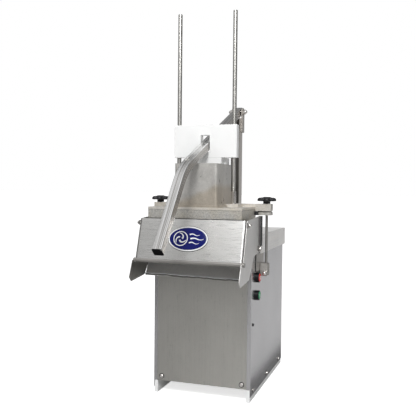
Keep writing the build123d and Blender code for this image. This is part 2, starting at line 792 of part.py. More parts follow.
def cable_gland():
    """The power inlet's gland in the rear panel."""
    y = CAB_DEPTH
    gland = Pos(GLAND_X, y, GLAND_Z) * Rot(-90, 0, 0) * hexagon(24, 6)
    gland += rod_y(10, y, y + GLAND_OUT, GLAND_X, GLAND_Z)
    gland = fillet(gland.edges().sort_by(Axis.Y)[-1], 3)
    gland += rod_y(8, y - 14, y, GLAND_X, GLAND_Z)
    gland += Pos(GLAND_X, y - 7, GLAND_Z) * Rot(-90, 0, 0) * hexagon(22, 5)
    return gland - rod_y(GLAND_BORE, y - 30, y + 40, GLAND_X, GLAND_Z)


# ------------------------------------------------------------------ all nodes

def make_nodes():
    side_screws = runner_screws()
    sheet_screws = panel_screws()
    all_screws = side_screws + sheet_screws
    add("cabinet_screws", *all_screws)
    add("front_panel", front_panel(sheet_screws[:2]))
    add("rear_panel", rear_panel())
    add("base_pan", base_pan(sheet_screws[:2]))
    add("top_deck", top_deck())
    add("rear_lid", rear_lid())
    add("motor_shelf", motor_shelf())
    right_side = side_panel([s for s in all_screws if s.center().X > 170])
    right_runner = runner([s for s in side_screws if s.center().X > 0])
    pairs = {
        "side_panel": (right_side, plain_side(right_side)),
        "runner": both_sides(right_runner),
        "hood_side": both_sides(hood_side()),
        "guide_rod": both_sides(guide_rod()),
        "clevis": both_sides(clevis()),
        "swing_bolt": both_sides(swing_bolt()),
        "star_knob": both_sides(star_knob()),
    }
    for name, (right, left) in pairs.items():
        add(name + "_right", right)
        add(name + "_left", left)
    add("hood_bolts", *hood_bolts())
    add("chute_floor", chute_floor())
    add("guard_flap", guard_flap())
    add("flap_bar", flap_bar())
    add("badge", badge())
    add("bowl", bowl())
    add("gasket", gasket())
    add("cover_plate", cover_plate())
    add("clamp_frame", clamp_frame())
    add("hopper", hopper())
    add("interlock_switch", interlock_switch())
    add("shredder_disc", shredder_disc())
    add("disc_screw", disc_screw())
    add("ejector", ejector())
    add("main_shaft", main_shaft())
    add("bearing_housing", bearing_housing())
    add("shaft_bearings", *shaft_bearings())
    add("rod_nuts", *rod_nuts())
    stem_screws = pusher_screws()
    add("crosshead", crosshead(stem_screws))
    add("pusher_stem", pusher_stem(stem_screws))
    add("pusher_foot", pusher_foot())
    add("pusher_screws", *stem_screws)
    add("lift_post", lift_post())
    add("post_bolts", *post_bolts())
    add("cheek_straps", *cheek_straps())
    add("pivot_bolt", pivot_bolt())
    add("lever_tube", lever_tube())
    add("lever_plug", lever_plug())
    add("clevis_pins", *clevis_pins())
    add("button_bezels", *button_bezels())
    add("stop_button", push_button(STOP_Z))
    add("start_button", push_button(START_Z))
    add("control_box", control_box())
    add("motor", motor())
    add("motor_shaft", motor_shaft())
    add("motor_pulley", pulley(MOTOR_PULLEY_R, 9.5, MOTOR_Y))
    add("driven_pulley", pulley(DRIVEN_R, SHAFT_R, BOWL_Y))
    add("drive_belt", drive_belt())
    add("cable_gland", cable_gland())


def plain_side(panel):
    """The left panel: the right one's mirror image with the button holes closed."""
    left = mirror(panel, about=Plane.YZ)
    for z in (STOP_Z, START_Z):
        left += rod_x(11.2, -CAB_X, -CAB_X + SHEET, BUTTON_Y, z)
    return left


def save_nodes():
    """Shift every node so that the footprint's middle is the origin, and write it."""
    os.makedirs("parts", exist_ok=True)
    shapes = [part for group in nodes.values() for part in group]
    everything = Compound([solid for part in shapes for solid in part.solids()])
    box = everything.bounding_box()
    middle = (box.min.Y + box.max.Y) / 2
    print("front to back", round(box.min.Y, 3), round(box.max.Y, 3), "origin y", round(middle, 4))
    print("side to side", round(box.min.X, 3), round(box.max.X, 3), "top", round(box.max.Z, 3))
    shift = Pos(0, -middle, 0)
    for name, group in nodes.items():
        solids = [solid for part in group for solid in (shift * part).solids()]
        shape = solids[0] if len(solids) == 1 else Compound(solids)
        shape.label = name
        export_step(shape, f"parts/{name}.step")
    print(len(nodes), "nodes")


make_nodes()
save_nodes()
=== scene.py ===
import math

import bpy
from mathutils import Matrix, Vector


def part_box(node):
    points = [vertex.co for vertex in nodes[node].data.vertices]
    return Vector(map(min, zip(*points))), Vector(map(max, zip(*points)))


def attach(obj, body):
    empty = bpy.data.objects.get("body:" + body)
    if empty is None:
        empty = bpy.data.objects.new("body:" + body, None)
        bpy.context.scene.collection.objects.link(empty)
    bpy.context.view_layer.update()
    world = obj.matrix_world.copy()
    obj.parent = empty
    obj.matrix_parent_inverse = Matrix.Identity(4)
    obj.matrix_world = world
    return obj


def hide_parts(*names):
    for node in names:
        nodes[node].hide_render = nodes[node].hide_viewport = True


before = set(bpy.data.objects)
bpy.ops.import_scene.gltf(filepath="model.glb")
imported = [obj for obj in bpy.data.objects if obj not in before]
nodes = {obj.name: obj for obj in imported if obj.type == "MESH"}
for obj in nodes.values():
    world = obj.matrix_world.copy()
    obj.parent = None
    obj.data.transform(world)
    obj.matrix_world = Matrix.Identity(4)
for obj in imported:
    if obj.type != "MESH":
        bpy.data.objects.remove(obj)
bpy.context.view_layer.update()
TAU = 2 * math.pi


# ---------------------------------------------------------------- places in the part

def middle(node):
    low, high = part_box(node)
    return (Vector(low) + Vector(high)) / 2


def low_of(node):
    return Vector(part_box(node)[0])


def high_of(node):
    return Vector(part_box(node)[1])


# The front panel's face is the plane from which depths along the machine are counted.
FRONT = low_of("side_panel_right").y


# ---------------------------------------------------------------- materials

def feed(tree, node, key, value):
    """Link a socket into an input, or set the input's own value."""
    if isinstance(value, bpy.types.NodeSocket):
        tree.links.new(value, node.inputs[key])
    else:
        node.inputs[key].default_value = value


def add_node(tree, kind, inputs):
    """A node with its inputs fed: i0, i1 ... go by number, other names by socket, with _ for a space."""
    node = tree.nodes.new(kind)
    for name, value in inputs.items():
        by_number = name[0] == "i" and name[1:].isdigit()
        feed(tree, node, int(name[1:]) if by_number else name.replace("_", " "), value)
    return node


def mix_colours(tree, fac, a, b, kind="MIX"):
    """A colour mix of sockets or (r, g, b)."""
    node = tree.nodes.new("ShaderNodeMix")
    node.data_type = "RGBA"
    node.blend_type = kind
    feed(tree, node, 0, fac)
    for slot, value in ((6, a), (7, b)):
        feed(tree, node, slot, value if isinstance(value, bpy.types.NodeSocket) else (*value, 1))
    return node.outputs[2]


class Shade:
    """A principled material with helpers for its procedural detail."""

    def __init__(self, name, colour, rough, metallic=0.0, **sockets):
        self.mat = bpy.data.materials.new(name)
        self.mat.use_nodes = True
        self.tree = self.mat.node_tree
        self.shader = self.tree.nodes["Principled BSDF"]
        self.set("Base Color", (*colour, 1))
        self.set("Roughness", rough)
        self.set("Metallic", metallic)
        for socket, value in sockets.items():
            self.set(socket.replace("_", " "), value)
        self.bump = None

    def set(self, socket, value):
        self.shader.inputs[socket].default_value = value

    def node(self, kind, **inputs):
        return add_node(self.tree, kind, inputs)

    def position(self):
        return self.node("ShaderNodeTexCoord").outputs["Object"]

    def noise(self, scale, detail=3.0, rough=0.55, source=None, stretch=(1, 1, 1)):
        """Noise in metres: scale is blobs per metre, stretched along an axis by a small factor."""
        mapping = self.node("ShaderNodeMapping", Vector=source or self.position())
        mapping.inputs["Scale"].default_value = [scale * s for s in stretch]
        texture = self.node("ShaderNodeTexNoise", Vector=mapping.outputs[0], Scale=1.0, Detail=detail)
        texture.inputs["Roughness"].default_value = rough
        return texture.outputs["Fac"]

    def ramp(self, value, low, high, to_low=0.0, to_high=1.0):
        node = self.node("ShaderNodeMapRange", Value=value)
        node.inputs["From Min"].default_value = low
        node.inputs["From Max"].default_value = high
        node.inputs["To Min"].default_value = to_low
        node.inputs["To Max"].default_value = to_high
        return node.outputs[0]

    def math(self, kind, a, b=0.0):
        node = self.node("ShaderNodeMath", i0=a, i1=b)
        node.operation = kind
        return node.outputs[0]

    def blend(self, fac, a, b, kind="MIX"):
        return mix_colours(self.tree, fac, a, b, kind)

    def paint(self, colour):
        self.tree.links.new(colour, self.shader.inputs["Base Color"])

    def roughen(self, value, low, high):
        """Roughness that swings between low and high with a 0 to 1 value."""
        self.tree.links.new(self.ramp(value, 0.3, 0.7, low, high), self.shader.inputs["Roughness"])

    def raise_by(self, value, distance, strength=1.0):
        node = self.node("ShaderNodeBump", Height=value, Distance=distance, Strength=strength)
        if self.bump:
            self.tree.links.new(self.bump, node.inputs["Normal"])
        self.bump = node.outputs[0]
        self.tree.links.new(self.bump, self.shader.inputs["Normal"])


def tint(colour, factor):
    return tuple(min(c * factor, 1.0) for c in colour)


def brushed(name, colour, rough, stretch, spread=0.07, contrast=0.16, cloud=0.10, metallic=1.0,
            relief=0.35):
    """Sheet steel: fine grain along one axis, faint clouding and a few wipe marks."""
    shade = Shade(name, colour, rough, metallic)
    grain = shade.noise(1500, 2.0, 0.6, stretch=stretch)
    broad = shade.noise(160, 3.0, 0.6, stretch=stretch)
    clouds = shade.noise(5, 4.0, 0.6)
    tone = shade.blend(shade.ramp(grain, 0.3, 0.7), tint(colour, 1 - contrast), tint(colour, 1 + contrast))
    tone = shade.blend(shade.ramp(broad, 0.35, 0.65), tone, tint(colour, 1.05))
    cloud_tone = shade.blend(shade.ramp(clouds, 0.3, 0.7), (1 - cloud,) * 3, (1.0, 1.0, 1.0))
    shade.paint(shade.blend(1.0, tone, cloud_tone, "MULTIPLY"))
    shade.roughen(grain, rough - spread, rough + spread)
    shade.raise_by(grain, 0.00004, relief)
    return shade.mat


def cast_steel(name, colour, rough, warm=(1.0, 0.95, 0.86), metallic=0.9, mottling=0.2,
               mottle_scale=170):
    """Machined and bead-blasted plate: mottled, speckled and lightly stained."""
    shade = Shade(name, colour, rough, metallic)
    mottle = shade.noise(mottle_scale, 6.0, 0.75)
    speck = shade.noise(520, 3.0, 0.7)
    warm_tone = shade.noise(9, 4.0, 0.6)
    tone = shade.blend(shade.ramp(mottle, 0.33, 0.68), tint(colour, 1 - mottling), tint(colour, 1 + mottling))
    tone = shade.blend(shade.ramp(speck, 0.45, 0.8), tone, tint(colour, 1.3))
    warmed = shade.blend(shade.ramp(warm_tone, 0.45, 0.7), (1.0, 1.0, 1.0), warm)
    shade.paint(shade.blend(1.0, tone, warmed, "MULTIPLY"))
    shade.roughen(mottle, rough - 0.1, rough + 0.12)
    shade.raise_by(speck, 0.00012, 0.35)
    shade.raise_by(mottle, 0.00025, 0.3)
    return shade.mat


def polished(name, colour, rough, stretch):
    """Ground bar: fine marks along or round it, and faint tarnish."""
    shade = Shade(name, colour, rough, 1.0)
    marks = shade.noise(220, 2.0, 0.5, stretch=stretch)
    tarnish = shade.noise(30, 4.0, 0.6)
    shade.paint(shade.blend(shade.ramp(tarnish, 0.35, 0.7), tint(colour, 1.06), tint(colour, 0.86)))
    shade.roughen(marks, rough - 0.04, rough + 0.06)
    return shade.mat


def plastic(name, colour, rough, ridge=0.00006, scale=300, wear=0.06, specular=0.45, stretch=(1, 1, 1),
            glow=0.0):
    """Moulded or milled plastic with a fine skin and faint wear; glow is painted light, a faint emission
    standing in for light passing through it.
    """
    shade = Shade(name, colour, rough, 0.0, Specular_IOR_Level=specular)
    # Painted light: emission in the plastic's own colour.
    shade.set("Emission Color", (*colour, 1))
    shade.set("Emission Strength", glow)
    skin = shade.noise(scale, 3.0, 0.6, stretch=stretch)
    scuff = shade.noise(26, 5.0, 0.65)
    shade.paint(shade.blend(shade.ramp(scuff, 0.4, 0.72), colour, tint(colour, 1 - wear)))
    shade.roughen(skin, rough - 0.06, rough + 0.08)
    shade.raise_by(skin, ridge, 0.4)
    return shade.mat


def lever_steel():
    """Square tube brushed along its length, with the grain following the bend."""
    colour = (0.86, 0.84, 0.812)
    shade = Shade("lever_steel", colour, 0.22, 1.0)
    # The bend's centre and the two straight runs' directions away from it, in the side plane.
    slope, steep = math.radians(21.7), math.radians(50.9)
    pivot = Vector((0, FRONT + 0.480, 1.129))
    back = Vector((0, math.cos(slope), math.sin(slope)))
    down = Vector((0, -math.cos(steep), -math.sin(steep)))
    tangent_gap = 0.250 * math.tan((steep - slope) / 2)
    start = pivot - back * (0.744 - tangent_gap)
    centre = start + Vector((0, math.sin(slope), -math.cos(slope))) * 0.250
    offset = shade.node("ShaderNodeVectorMath", i0=shade.position(), i1=centre)
    offset.operation = "SUBTRACT"
    split = shade.node("ShaderNodeSeparateXYZ", Vector=offset.outputs[0])

    def along(direction):
        dot = shade.node("ShaderNodeVectorMath", i0=offset.outputs[0], i1=direction)
        dot.operation = "DOT_PRODUCT"
        return shade.math("MAXIMUM", dot.outputs["Value"], 0.0)

    def square(value):
        return shade.math("MULTIPLY", value, value)

    up_run, down_run = along(back), along(down)
    radius = shade.math("ADD", square(split.outputs["Y"]), square(split.outputs["Z"]))
    radius = shade.math("SUBTRACT", radius, square(up_run))
    radius = shade.math("SUBTRACT", radius, square(down_run))
    radius = shade.math("SQRT", radius)
    run = shade.math("ADD", shade.math("MULTIPLY", split.outputs["Z"], 0.5), down_run)
    place = shade.node("ShaderNodeCombineXYZ", X=split.outputs["X"], Y=radius, Z=run)
    grain = shade.noise(700, 3.0, 0.7, source=place.outputs[0], stretch=(1, 1, 0.012))
    streak = shade.noise(230, 2.0, 0.6, source=place.outputs[0], stretch=(1, 1, 0.015))
    fine = shade.blend(shade.ramp(grain, 0.3, 0.7), (0.72,) * 3, (1.0, 1.0, 1.0))
    wide = shade.blend(shade.ramp(streak, 0.36, 0.64), tint(colour, 0.66), tint(colour, 1.34))
    tone = shade.blend(1.0, wide, fine, "MULTIPLY")
    # Lighter corners between the ground top and the side walls, partly wear and partly painted highlight.
    across = shade.math("ABSOLUTE", split.outputs["X"])
    tone = shade.blend(shade.ramp(across, 0.0134, 0.0140), tone, (0.86, 0.86, 0.86))
    # Painted shade: the side walls darker than the top.
    painted_shade_walls = shade.blend(1.0, tone, (0.42, 0.40, 0.38), "MULTIPLY")
    shade.paint(shade.blend(shade.ramp(across, 0.0157, 0.0159), tone, painted_shade_walls))
    shade.roughen(streak, 0.16, 0.30)
    shade.raise_by(grain, 0.00005, 0.5)
    return shade.mat


def hopper_sheet():
    """Blasted sheet with soft clouds, browner and darker low on its right half below a slanting line."""
    colour = (0.512, 0.5, 0.476)
    shade = Shade("hopper_steel", colour, 0.34, 0.35)
    sparkle = shade.noise(420, 3.0, 0.7)
    clouds = shade.noise(34, 4.0, 0.6, stretch=(1, 1, 0.7))
    split = shade.node("ShaderNodeSeparateXYZ", Vector=shade.position())
    rise = shade.math("SUBTRACT", split.outputs["Z"], shade.math("MULTIPLY", split.outputs["X"], 0.42))
    edge = shade.math("ADD", rise, shade.math("MULTIPLY", clouds, 0.03))
    tone = shade.blend(shade.ramp(sparkle, 0.3, 0.7), tint(colour, 0.86), tint(colour, 1.14))
    soft = shade.blend(shade.ramp(clouds, 0.3, 0.7), (0.82,) * 3, (1.1, 1.1, 1.1))
    tone = shade.blend(1.0, tone, soft, "MULTIPLY")
    # Browner and darker below a slanting line low on the right half.
    warm_tone = shade.blend(shade.ramp(edge, 0.772, 0.792), (0.86, 0.79, 0.70), (1.0, 1.0, 1.0))
    shade.paint(shade.blend(1.0, tone, warm_tone, "MULTIPLY"))
    shade.roughen(clouds, 0.26, 0.42)
    shade.raise_by(sparkle, 0.00008, 0.3)
    return shade.mat


def post_sheet():
    """Drawn channel: ground outside, darkened inside as painted shade."""
    colour = (0.54, 0.515, 0.485)
    shade = Shade("post", colour, 0.3, 1.0)
    grain = shade.noise(900, 2.0, 0.6, stretch=(1, 1, 0.01))
    tone = shade.blend(shade.ramp(grain, 0.3, 0.7), tint(colour, 0.85), tint(colour, 1.15))
    split = shade.node("ShaderNodeSeparateXYZ", Vector=shade.position())
    across = shade.math("ABSOLUTE", split.outputs["X"])
    behind = shade.ramp(split.outputs["Y"], FRONT + 0.485, FRONT + 0.486)
    outside = shade.math("MAXIMUM", shade.ramp(across, 0.0172, 0.0178), behind)
    # Painted shade: the inside of the channel is darkened.
    painted_inner_shade = shade.blend(outside, (0.3, 0.3, 0.3), (1.0, 1.0, 1.0))
    shade.paint(shade.blend(1.0, tone, painted_inner_shade, "MULTIPLY"))
    shade.roughen(grain, 0.26, 0.36)
    return shade.mat


SHEET = (0.56, 0.556, 0.544)

mats = {
    "cabinet_front": brushed("cabinet_front", (0.544, 0.533, 0.501), 0.33, (1, 1, 0.015), contrast=0.07),
    "cabinet_side": brushed("cabinet_side", (0.605, 0.598, 0.611), 0.22, (1, 1, 0.015), 0.04, 0.05),
    # The top deck and lid: a lighter copy of the cabinet steel, painted light on the machine's top.
    "cabinet_top_painted_light": brushed("cabinet_top_painted_light", (0.915, 0.895, 0.866), 0.36, (1, 0.015, 1), metallic=0.75),
    "hood_sheet": brushed("hood_sheet", (0.70, 0.688, 0.675), 0.34, (1, 1, 0.02)),
    # The left hood plate, seen from inside: a darker copy of the hood steel, painted shade.
    "hood_painted_shade": brushed("hood_painted_shade", (0.38, 0.375, 0.36), 0.4, (1, 1, 0.02)),
    "flap_sheet": brushed("flap_sheet", SHEET, 0.31, (0.015, 1, 1), contrast=0.025, metallic=0.95,
                          relief=0.06),
    "chute_sheet": brushed("chute_sheet", (0.828, 0.816, 0.793), 0.42, (1, 1, 0.02), metallic=0.7),
    "cast": cast_steel("cast", (0.526, 0.515, 0.487), 0.44, metallic=0.7, mottling=0.42, mottle_scale=150),
    "hopper_steel": hopper_sheet(),
    "cover": cast_steel("cover", (0.607, 0.583, 0.545), 0.42, metallic=0.45, mottling=0.16, mottle_scale=240),
    "plate": cast_steel("plate", (0.43, 0.412, 0.39), 0.4, (1.0, 0.93, 0.85), metallic=0.6),
    "rod": polished("rod", (0.518, 0.51, 0.486), 0.36, (1, 1, 0.02)),
    "swing": polished("swing", (0.354, 0.345, 0.327), 0.34, (1, 1, 0.02)),
    "bolt": polished("bolt", (0.789, 0.762, 0.734), 0.2, (1, 1, 1)),
    "post": post_sheet(),
    "lever": lever_steel(),
    # The white parts get a faint glow: painted light.
    "white": plastic("white", (0.85, 0.855, 0.85), 0.42, scale=700, wear=0.03, stretch=(0.02, 1, 1),
                     glow=0.03),
    "black": plastic("black", (0.018, 0.018, 0.02), 0.42, scale=900, wear=-0.5, specular=0.3),
    "plug": plastic("plug", (0.003, 0.003, 0.0035), 0.6, scale=900, wear=-0.3, specular=0.04),
    "bezel": plastic("bezel", (0.006, 0.0065, 0.008), 0.34, scale=900, wear=-0.5, specular=0.25),
    "bar": brushed("bar", (0.313, 0.302, 0.287), 0.34, (0.02, 1, 1), metallic=0.6),
    # The chute hem: steel darkened as painted shade under the guard.
    "hem": brushed("hem", (0.15, 0.146, 0.136), 0.45, (0.02, 1, 1), metallic=0.6),
    "red": plastic("red", (0.72, 0.02, 0.012), 0.22, scale=200, wear=0.1),
    "green": plastic("green", (0.01, 0.30, 0.11), 0.22, scale=200, wear=0.1),
    "alloy": cast_steel("alloy", (0.60, 0.61, 0.62), 0.42, (1, 1, 1)),
    "shaft": polished("shaft", (0.42, 0.42, 0.42), 0.28, (1, 1, 3)),
    "rubber": plastic("rubber", (0.02, 0.02, 0.02), 0.65, scale=500, wear=-0.8),
    "motor_paint": plastic("motor_paint", (0.07, 0.10, 0.13), 0.35, scale=250, wear=0.2),
    "enamel": plastic("enamel", (0.002, 0.006, 0.125), 0.16, scale=120, wear=0.25, ridge=0.00002,
                      specular=0.3),
    "emblem": plastic("emblem", (0.86, 0.87, 0.88), 0.3, scale=400, wear=0.03),
    "rim": plastic("rim", (0.82, 0.825, 0.83), 0.22, scale=300, wear=0.04, specular=0.7),
}

looks = {
    "cabinet_front": "front_panel rear_panel base_pan",
    "cabinet_side": "side_panel_left side_panel_right",
    "cabinet_top_painted_light": "top_deck rear_lid",
    "hood_sheet": "hood_side_right shredder_disc",
    "hood_painted_shade": "hood_side_left",
    "flap_sheet": "guard_flap",
    "chute_sheet": "chute_floor",
    "bar": "flap_bar",
    "cast": "bowl",
    "cover": "cover_plate clamp_frame",
    "plate": "clevis_left clevis_right cheek_straps",
    "hopper_steel": "hopper",
    "rod": "guide_rod_left guide_rod_right",
    "swing": "swing_bolt_left swing_bolt_right",
    "bolt": "cabinet_screws hood_bolts rod_nuts post_bolts pivot_bolt clevis_pins disc_screw pusher_screws"
            " shaft_bearings",
    "post": "lift_post",
    "lever": "lever_tube",
    "white": "runner_left runner_right crosshead pusher_stem pusher_foot",
    "plug": "lever_plug",
    "black": "star_knob_left star_knob_right interlock_switch cable_gland control_box",
    "bezel": "button_bezels",
    "red": "stop_button",
    "green": "start_button",
    "alloy": "bearing_housing ejector driven_pulley motor_pulley",
    "shaft": "main_shaft motor_shaft motor_shelf",
    "rubber": "gasket drive_belt",
    "motor_paint": "motor",
    "enamel": "badge",
}
for look, names in looks.items():
    for name in names.split():
        mesh = nodes[name].data
        mesh.materials.clear()
        mesh.materials.append(mats[look])


# ---------------------------------------------------------------- pieces

def piece(name, verts, faces, look, body, slot, smooth=True):
    mesh = bpy.data.meshes.new(name)
    mesh.from_pydata([tuple(v) for v in verts], [], faces)
    mesh.update()
    for polygon in mesh.polygons:
        polygon.use_smooth = smooth
    mesh.materials.append(mats[look])
    thing = bpy.data.objects.new(name, mesh)
    bpy.context.scene.collection.objects.link(thing)
    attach(thing, body)
    return thing


def loft(rings, caps=True):
    """Faces between equal rings of points, with a cap on each end."""
    verts = [p for ring in rings for p in ring]
    count = len(rings[0])
    faces = []
    for k in range(len(rings) - 1):
        for j in range(count):
            a = k * count + j
            b = k * count + (j + 1) % count
            faces.append((a, b, b + count, a + count))
    if caps:
        faces.append(tuple(reversed(range(count))))
        faces.append(tuple(range(len(verts) - count, len(verts))))
    return verts, faces


def circle(count):
    """(cosine, sine) at even steps round a turn."""
    return [(math.cos(TAU * j / count), math.sin(TAU * j / count)) for j in range(count)]


def joined(parts):
    verts, faces = [], []
    for some_verts, some_faces in parts:
        start = len(verts)
        verts += some_verts
        faces += [tuple(i + start for i in face) for face in some_faces]
    return verts, faces


KNOB_LOBES = 7
KNOB_POINTS = 112
GROOVE_DEPTH = 0.24


def star_knob(name, node, body):
    """Seven rounded lobes on a flared neck, with a shallow hub on top."""
    centre = middle(node)
    top = high_of(node).z
    floor = low_of(node).z
    levels = [
        (floor, 0.0136, 0.0), (floor + 0.0006, 0.0138, 0.0), (floor + 0.0085, 0.0138, 0.0),
        (floor + 0.0092, 0.0160, 0.0), (floor + 0.0096, 0.0230, 0.3), (floor + 0.0094, 0.0310, 0.8),
        (floor + 0.0096, 0.0348, 1.0), (floor + 0.0108, 0.0362, 1.0), (floor + 0.0135, 0.0365, 1.0),
        (floor + 0.0168, 0.0360, 1.0), (floor + 0.0196, 0.0345, 0.95), (floor + 0.0218, 0.0312, 0.75),
        (floor + 0.0230, 0.0260, 0.4), (floor + 0.0236, 0.0200, 0.1), (top - 0.0012, 0.0150, 0.0),
        (top + 0.0002, 0.0138, 0.0), (top + 0.0006, 0.0120, 0.0), (top, 0.0105, 0.0),
    ]
    rings = []
    for z, radius, lobing in levels:
        ring = []
        for j in range(KNOB_POINTS):
            angle = TAU * j / KNOB_POINTS
            groove = (0.5 + 0.5 * math.cos(KNOB_LOBES * angle)) ** 1.7
            r = radius * (1 - GROOVE_DEPTH * lobing * groove)
            ring.append((centre.x + r * math.cos(angle), centre.y + r * math.sin(angle), z))
        rings.append(ring)
    thing = piece(name, *loft(rings), "black", body, "black_plastic")
    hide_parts(node)


star_knob("knob_star_right", "star_knob_right", "knob_right")
star_knob("knob_star_left", "star_knob_left", "knob_left")


def thread(centre, inner, outer, z0, z1, pitch, segments=22):
    """A V thread wound round a vertical rod."""
    steps = int((z1 - z0) / pitch * segments)
    rings = []
    for k in range(steps + 1):
        angle = TAU * k / segments
        z = z0 + pitch * k / segments
        ring = []
        for r, dz in ((inner, -0.46), (outer, -0.08), (outer, 0.08), (inner, 0.46)):
            ring.append((centre.x + r * math.cos(angle), centre.y + r * math.sin(angle), z + dz * pitch))
        rings.append(ring)
    return loft(rings)


rods = [middle("guide_rod_left"), middle("guide_rod_right")]
threads = [thread(rod, inner=0.0066, outer=0.0079, z0=0.7805, z1=0.8135, pitch=0.0025) for rod in rods]
piece("rod_threads", *joined(threads), "rod", "frame", "stainless_polished")

for side in ("left", "right"):
    foot = middle("star_knob_" + side)
    wound = thread(foot, inner=0.0046, outer=0.0055, z0=0.690, z1=0.7355, pitch=0.0015)
    piece("bolt_thread_" + side, *wound, "rod", "swing_" + side, "stainless_polished")


# ---- badge: silver rim with a dark ring of painted shadow round it, domed blue enamel and a plain emblem of a cutter disc with shreds

badge_mid = middle("badge")
GUARD_RISE, GUARD_RUN = 0.137, 0.045
slant = math.atan2(GUARD_RISE, GUARD_RUN)
face_up = Vector((0, math.cos(slant), math.sin(slant)))
face_out = Vector((0, -math.sin(slant), math.cos(slant)))
BADGE_A, BADGE_B = 0.073, 0.044        # the oval's half axes
BADGE_HALF_THICK = 0.00125


def on_badge(u, v, lift):
    """A point on the badge's face: u to the right, v up it, lift off the flap."""
    base = badge_mid - face_out * BADGE_HALF_THICK
    return tuple(base + Vector((u, 0, 0)) + face_up * v + face_out * lift)


def badge_ring(profile, count=96):
    """Rings round the oval for a list of (inset from the edge, lift)."""
    rings = []
    for inset, lift in profile:
        a, b = BADGE_A - inset, BADGE_B - inset
        rings.append([on_badge(a * c, b * s, lift) for c, s in circle(count)])
    return rings


rim = badge_ring([(-0.0012, 0.0), (-0.0012, 0.0020), (-0.0005, 0.0028), (0.0030, 0.0030), (0.0037, 0.0022),
                  (0.0037, 0.0)])
piece("badge_rim", *loft(rim, caps=False), "rim", "flap", "blue_enamel")
# A dark ring round the rim: painted shadow.
shadow_outline = badge_ring([(-0.0028, 0.0), (-0.0028, 0.0010), (-0.0012, 0.0012), (-0.0012, 0.0)])
piece("badge_shadow_ring", *loft(shadow_outline, caps=False), "rubber", "flap", "blue_enamel")
dome = badge_ring([(0.0037, 0.0005), (0.0040, 0.0020), (0.0065, 0.0026), (0.0140, 0.0030), (0.0260, 0.0033),
                   (0.0360, 0.0034)])
field = piece("badge_field", *loft(dome), "enamel", "flap", "blue_enamel")
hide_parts("badge")


def stroke(points, widths, lift=0.0035, height=0.0006):
    """A raised ribbon on the badge along (u, v) points."""
    rings = []
    for k, (u, v) in enumerate(points):
        before = points[max(k - 1, 0)]
        after = points[min(k + 1, len(points) - 1)]
        du, dv = after[0] - before[0], after[1] - before[1]
        length = math.hypot(du, dv)
        nu, nv = -dv / length * widths[k], du / length * widths[k]
        drop = 0.0009 * (u / BADGE_A) ** 2 + 0.0009 * (v / BADGE_B) ** 2
        foot, crown = lift - drop - height, lift - drop + height
        profile = ((1.0, foot), (0.8, crown), (-0.8, crown), (-1.0, foot))
        rings.append([on_badge(u + nu * w, v + nv * w, rise) for w, rise in profile])
    return loft(rings)


def arc(cu, cv, r0, r1, a0, a1, count, w0, w1):
    """A ribbon whose radius and width change along an arc about a centre."""
    points, widths = [], []
    for k in range(count + 1):
        t = k / count
        angle = math.radians(a0 + (a1 - a0) * t)
        r = r0 + (r1 - r0) * t
        points.append((cu + r * math.cos(angle), cv + r * math.sin(angle)))
        widths.append(w0 + (w1 - w0) * t)
    return stroke(points, widths)


emblem = [arc(-0.027, 0.0, 0.0255, 0.0255, 0, 360, 60, 0.0019, 0.0019)]
for k in range(3):
    emblem.append(arc(-0.027, 0.0, 0.006, 0.021, 120 * k, 120 * k + 105, 16, 0.0036, 0.0014))
shreds = ((0.0150, 0.006, 0.043, 0.0026), (0.0, 0.010, 0.059, 0.0032), (-0.0150, 0.006, 0.043, 0.0026))
for v, start, reach, width in shreds:
    points, widths = [], []
    for k in range(25):
        t = k / 24
        points.append((start + (reach - start) * t, v + 0.0028 * math.sin(t * TAU)))
        widths.append(width * (1 - 0.75 * t))
    emblem.append(stroke(points, widths))
piece("badge_emblem", *joined(emblem), "emblem", "flap", "blue_enamel")


# ---- the chute's hem, slightly wavy and darkened as painted shade, a light bar along it as painted highlight, and marks on the two buttons

def tube(path, radius, sides=10):
    """A round bar along x through the given points."""
    rings = []
    for x, y, z in path:
        rings.append([(x, y + radius * c, z + radius * s) for c, s in circle(sides)])
    return loft(rings)


LIP_Z, LIP_FALL = 0.4700, 0.0036         # height at the middle, and the fall to the right end
HIGHLIGHT_DEPTH, HIGHLIGHT_R = 0.0735, 0.0015
HEM_DEPTH, HEM_R, HEM_DROP = 0.0710, 0.0031, 0.0044
HEM_STEPS = 80
half = high_of("chute_floor").x - 0.001
hem = []
highlight_line = []
for k in range(HEM_STEPS + 1):
    x = -half + 2 * half * k / HEM_STEPS
    wave = 0.0008 * math.sin(9 * x / half + 0.6) + 0.0005 * math.sin(31 * x / half)
    crest = LIP_Z - LIP_FALL * x / half + wave
    hem.append((x, FRONT - HEM_DEPTH, crest - HEM_DROP))
    highlight_line.append((x, FRONT - HIGHLIGHT_DEPTH, crest))
# The hem in dark steel: painted shade.
piece("chute_hem", *tube(hem, HEM_R), "hem", "frame", "stainless_sheet")
# A thin light bar along the lip: painted highlight.
piece("chute_painted_highlight", *tube(highlight_line, HIGHLIGHT_R), "rim", "frame", "stainless_sheet")


PLATE_CORNER_R = 0.0125
PLATE_CORNER_Z = 0.534
PLATE_CORNERS = ((0.072, 180), (0.164, 90))      # y of each upper corner, and where its arc starts


